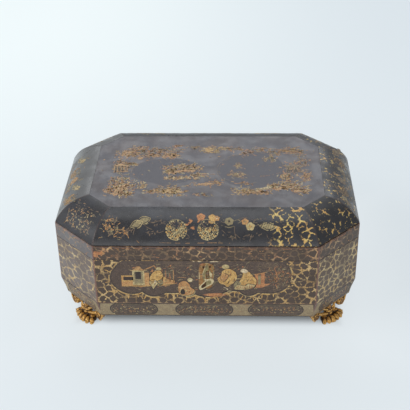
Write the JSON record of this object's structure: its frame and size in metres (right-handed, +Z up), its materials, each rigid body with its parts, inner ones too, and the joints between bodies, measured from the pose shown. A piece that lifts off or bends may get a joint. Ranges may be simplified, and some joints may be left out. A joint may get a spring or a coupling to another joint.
{
  "type": "deed box",
  "caption": "Eight-sided lacquered deed box with a domed lid on two hinges, a box lock with a sliding bolt, sloping base mouldings and carved paw feet.",
  "frame": {"origin": "on the surface the feet stand on, under the middle of the box", "axes": "+X across the front to the right, -Y to the front, +Z up"},
  "size_m": [0.36, 0.256, 0.154],
  "materials": {
    "lacquer_body": "black lacquer on wood, painted in gold, worn and gently glossy",
    "lacquer_base": "dark brown lacquer with pale gold lozenges, worn",
    "lacquer_lid": "black lacquer on wood, painted in gold, worn and gently glossy",
    "gilt_wood": "carved wood, gilded over dark bole, rubbed",
    "brass": "aged brass, dull",
    "steel": "dark old steel",
    "dowel_wood": "bare softwood"
  },
  "bodies": {
    "case": {"wall_front": "lacquer_body", "base_front": "lacquer_base", "wall_front_right": "lacquer_body", "base_front_right": "lacquer_base", "wall_right": "lacquer_body", "base_right": "lacquer_base", "wall_back_right": "lacquer_body", "base_back_right": "lacquer_base", "wall_back": "lacquer_body", "base_back": "lacquer_base", "wall_back_left": "lacquer_body", "base_back_left": "lacquer_base", "wall_left": "lacquer_body", "base_left": "lacquer_base", "wall_front_left": "lacquer_body", "base_front_left": "lacquer_base", "foot_front_right": "gilt_wood", "foot_back_right": "gilt_wood", "foot_back_left": "gilt_wood", "foot_front_left": "gilt_wood", "hinge_body_leaf_left": "brass", "hinge_pin_left": "brass", "hinge_body_leaf_right": "brass", "hinge_pin_right": "brass", "bottom_panel": "lacquer_body", "foot_dowels": "dowel_wood", "hinge_body_screws": "steel", "lock_case": "brass", "lock_cap": "brass", "lock_spring": "steel", "lock_screws": "steel", "escutcheon": "brass", "escutcheon_tacks": "brass"},
    "lid": {"rim_front": "lacquer_lid", "dome_front": "lacquer_lid", "rim_front_right": "lacquer_lid", "dome_front_right": "lacquer_lid", "rim_right": "lacquer_lid", "dome_right": "lacquer_lid", "rim_back_right": "lacquer_lid", "dome_back_right": "lacquer_lid", "rim_back": "lacquer_lid", "dome_back": "lacquer_lid", "rim_back_left": "lacquer_lid", "dome_back_left": "lacquer_lid", "rim_left": "lacquer_lid", "dome_left": "lacquer_lid", "rim_front_left": "lacquer_lid", "dome_front_left": "lacquer_lid", "hinge_lid_leaf_left": "brass", "hinge_lid_leaf_right": "brass", "top_panel": "lacquer_lid", "hinge_lid_screws": "steel", "strike_plate": "brass", "strike_screws": "steel"},
    "bolt": {"lock_bolt": "steel"}
  },
  "joints": [
    {"name": "lid_hinge", "type": "hinge", "parent": "case", "child": "lid", "pos_m": [0, 0.125, 0.107], "axis": [-1, 0, 0], "range_deg": [0, 100]},
    {"name": "bolt_slide", "type": "slide", "parent": "case", "child": "bolt", "axis": [1, 0, 0], "range_m": [0, 0.005]}
  ]
}
